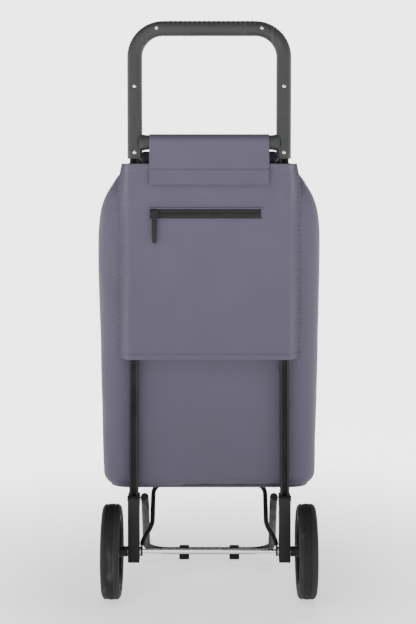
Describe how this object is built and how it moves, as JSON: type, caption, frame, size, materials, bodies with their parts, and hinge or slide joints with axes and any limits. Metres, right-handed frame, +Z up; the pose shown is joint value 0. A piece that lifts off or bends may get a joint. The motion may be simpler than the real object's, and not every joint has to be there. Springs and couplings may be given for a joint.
{
  "type": "folding shopping trolley",
  "caption": "Wheeled folding shopping trolley: U handle on channel uprights, fabric bag with lid and rear zip pocket, folding wire foot and support hoop.",
  "frame": {"origin": "on the floor under the middle of the whole object's box", "axes": "+Z up, +Y from the frame to the bag (front), +X to the right seen from behind"},
  "size_m": [0.391, 0.3496, 1.003],
  "materials": {
    "black_metal": "satin black coating",
    "grey_plastic": "fine moulded grain",
    "black_plastic": "moulded, satin",
    "chrome": "bright plated",
    "tyre": "ribbed tread",
    "rubber": "matt rubber",
    "fabric": "coated smooth polyester",
    "zip_black": "zip parts"
  },
  "bodies": {
    "frame": {"upright_left": "black_metal", "upright_right": "black_metal", "handle_rear_shell": "grey_plastic", "handle_front_shell": "grey_plastic", "handle_crossbar": "grey_plastic", "handle_screw_1": "chrome", "handle_screw_2": "chrome", "handle_screw_3": "chrome", "handle_screw_4": "chrome", "handle_screw_5": "chrome", "handle_screw_6": "chrome", "wheel_bracket_left": "black_plastic", "wheel_bracket_right": "black_plastic", "axle": "chrome", "axle_washer_left": "chrome", "axle_washer_right": "chrome", "axle_push_nut_left": "chrome", "axle_push_nut_right": "chrome", "foot_pivot_pin_left": "chrome", "foot_pivot_pin_right": "chrome", "bag_body": "fabric", "back_sleeve": "fabric", "crossbar_wrap": "fabric", "zip_tape": "zip_black"},
    "wheel_left": {"tyre_left": "tyre", "wheel_rim_left": "black_plastic", "hub_bush_left": "chrome", "hub_cap_left": "black_plastic"},
    "wheel_right": {"tyre_right": "tyre", "wheel_rim_right": "black_plastic", "hub_bush_right": "chrome", "hub_cap_right": "black_plastic"},
    "foot": {"foot_tube": "black_metal", "foot_pad_left": "rubber", "foot_pad_right": "rubber"},
    "hoop": {"support_hoop": "black_metal"},
    "board": {"base_board": "black_plastic"},
    "lid": {"lid_panel": "fabric", "lid_stud_left": "black_plastic", "lid_stud_right": "black_plastic"},
    "tail": {"flap_tail": "fabric"},
    "slider": {"zip_slider": "zip_black"},
    "pull": {"zip_pull": "zip_black"}
  },
  "joints": [
    {"name": "wheel_left_spin", "type": "hinge", "parent": "frame", "child": "wheel_left", "pos_m": [-0.1695, -0.09225, 0.0825], "axis": [1, 0, 0], "continuous": true},
    {"name": "wheel_right_spin", "type": "hinge", "parent": "frame", "child": "wheel_right", "pos_m": [0.1695, -0.09225, 0.0825], "axis": [1, 0, 0], "continuous": true},
    {"name": "foot_fold", "type": "hinge", "parent": "frame", "child": "foot", "pos_m": [0, -0.07225, 0.171], "axis": [1, 0, 0], "range_deg": [0, 95], "deforming": ["bag_body", "lid_panel"]},
    {"name": "hoop_fold", "type": "hinge", "parent": "frame", "child": "hoop", "pos_m": [0, -0.09225, 0.0825], "axis": [1, 0, 0], "range_deg": [0, 30], "deforming": ["bag_body", "lid_panel"]},
    {"name": "board_fold", "type": "hinge", "parent": "frame", "child": "board", "pos_m": [0, -0.07125, 0.196], "axis": [1, 0, 0], "range_deg": [0, 90], "deforming": ["bag_body", "lid_panel"]},
    {"name": "lid_open", "type": "hinge", "parent": "frame", "child": "lid", "pos_m": [0, -0.05725, 0.764], "axis": [1, 0, 0], "range_deg": [0, 90]},
    {"name": "tail_lift", "type": "hinge", "parent": "frame", "child": "tail", "pos_m": [0, -0.10605, 0.793], "axis": [-1, 0, 0], "range_deg": [0, 80]},
    {"name": "zip_slide", "type": "slide", "parent": "frame", "child": "slider", "axis": [1, 0, 0], "range_m": [0, 0.17]},
    {"name": "pull_swing", "type": "hinge", "parent": "slider", "child": "pull", "pos_m": [-0.094, -0.11255, 0.6705], "axis": [-1, 0, 0], "range_deg": [0, 150]}
  ],
  "couplings": [
    {"joint": "hoop_fold", "follows": "foot_fold", "ratio": 0.3157},
    {"joint": "board_fold", "follows": "foot_fold", "ratio": 0.9474}
  ]
}
